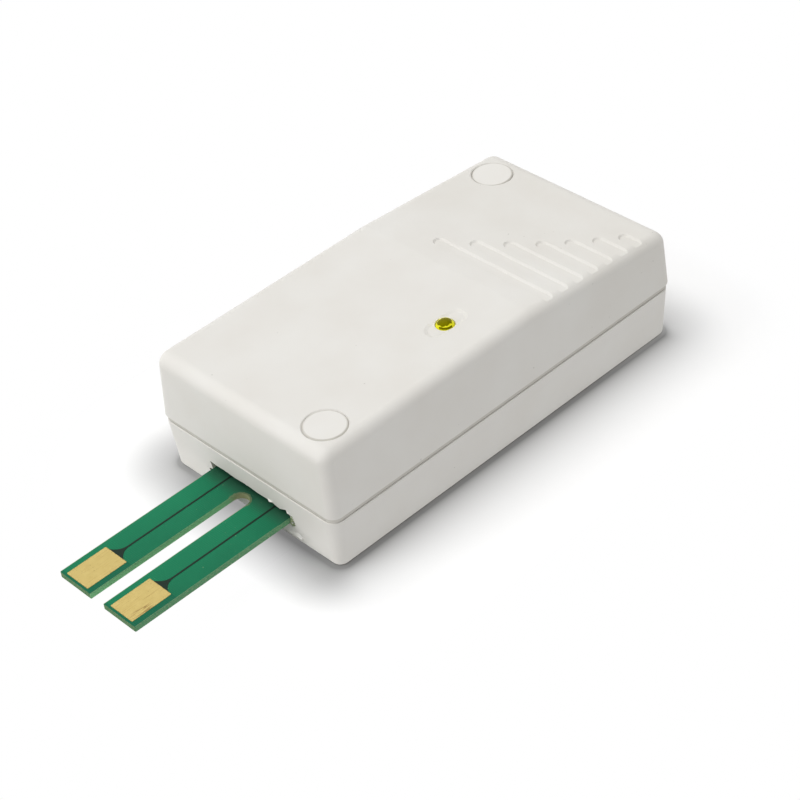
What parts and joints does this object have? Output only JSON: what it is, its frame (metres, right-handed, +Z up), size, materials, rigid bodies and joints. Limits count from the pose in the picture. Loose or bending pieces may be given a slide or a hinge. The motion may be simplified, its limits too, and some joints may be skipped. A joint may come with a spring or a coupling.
{
  "type": "water leak sensor",
  "caption": "Low two-part plastic case with a sloping grooved top and small round lamp, whose circuit board reaches out of the front as a fork with gold pads that sense water.",
  "frame": {"origin": "centre of the case's flat underside", "axes": "+Z up through the case, -Y towards the tips of the fork, +X to the right seen from behind the fork"},
  "size_m": [0.063, 0.167, 0.0362],
  "materials": {
    "case_plastic": "finely spark-textured warm white ABS",
    "cap_plastic": "smooth warm white ABS",
    "board_laminate": "green solder mask on glass-fibre laminate",
    "gold_plate": "thin gold plate, scratched",
    "masked_copper": "copper track under green solder mask",
    "zinc_steel": "zinc-plated steel",
    "lamp_epoxy": "clear yellow epoxy",
    "tinned_wire": "tinned steel wire",
    "spacer_nylon": "natural nylon",
    "holder_plastic": "black moulded nylon",
    "cell_sleeve": "plain shrink sleeve over a steel can",
    "nickel_contact": "nickel-plated spring steel",
    "chip_epoxy": "black moulding compound",
    "radio_laminate": "green solder mask",
    "shield_can": "tin-plated pressed steel",
    "capacitor_sleeve": "black shrink sleeve",
    "resistor_ceramic": "black glazed chip with tinned ends",
    "capacitor_ceramic": "brown ceramic chip with tinned ends",
    "copper_wire": "enamelled copper wire",
    "button_plastic": "black moulded thermoplastic"
  },
  "bodies": {
    "housing": {"base_shell": "case_plastic", "circuit_board": "board_laminate", "board_screws": "zinc_steel", "sensing_pad_left": "gold_plate", "sensing_pad_right": "gold_plate", "sensing_track_left": "masked_copper", "sensing_track_right": "masked_copper", "battery_holder": "holder_plastic", "battery_left": "cell_sleeve", "battery_right": "cell_sleeve", "battery_bridge": "nickel_contact", "battery_terminal_negative": "nickel_contact", "battery_terminal_positive": "nickel_contact", "led_lens": "lamp_epoxy", "led_leads": "tinned_wire", "led_spacer": "spacer_nylon", "microcontroller": "chip_epoxy", "microcontroller_leads": "tinned_wire", "radio_board": "radio_laminate", "radio_shield": "shield_can", "crystal": "shield_can", "reservoir_capacitor": "capacitor_sleeve", "chip_resistors": "resistor_ceramic", "chip_capacitors": "capacitor_ceramic", "loop_antenna": "copper_wire", "learn_button_body": "button_plastic", "learn_button_plate": "shield_can", "learn_button_legs": "tinned_wire"},
    "cover": {"cover_shell": "case_plastic", "screw_cap_front": "cap_plastic", "screw_cap_rear": "cap_plastic", "case_screws": "zinc_steel"},
    "learn_button": {"learn_button_plunger": "button_plastic"}
  },
  "joints": [
    {"name": "cover_lift", "type": "slide", "parent": "housing", "child": "cover", "axis": [0, 0, 1], "range_m": [0, 0.045]},
    {"name": "learn_button_press", "type": "slide", "parent": "housing", "child": "learn_button", "axis": [0, 0, -1], "range_m": [0, 0.00025], "stiffness_N_per_m": 3000, "springref_m": -0.0003}
  ]
}
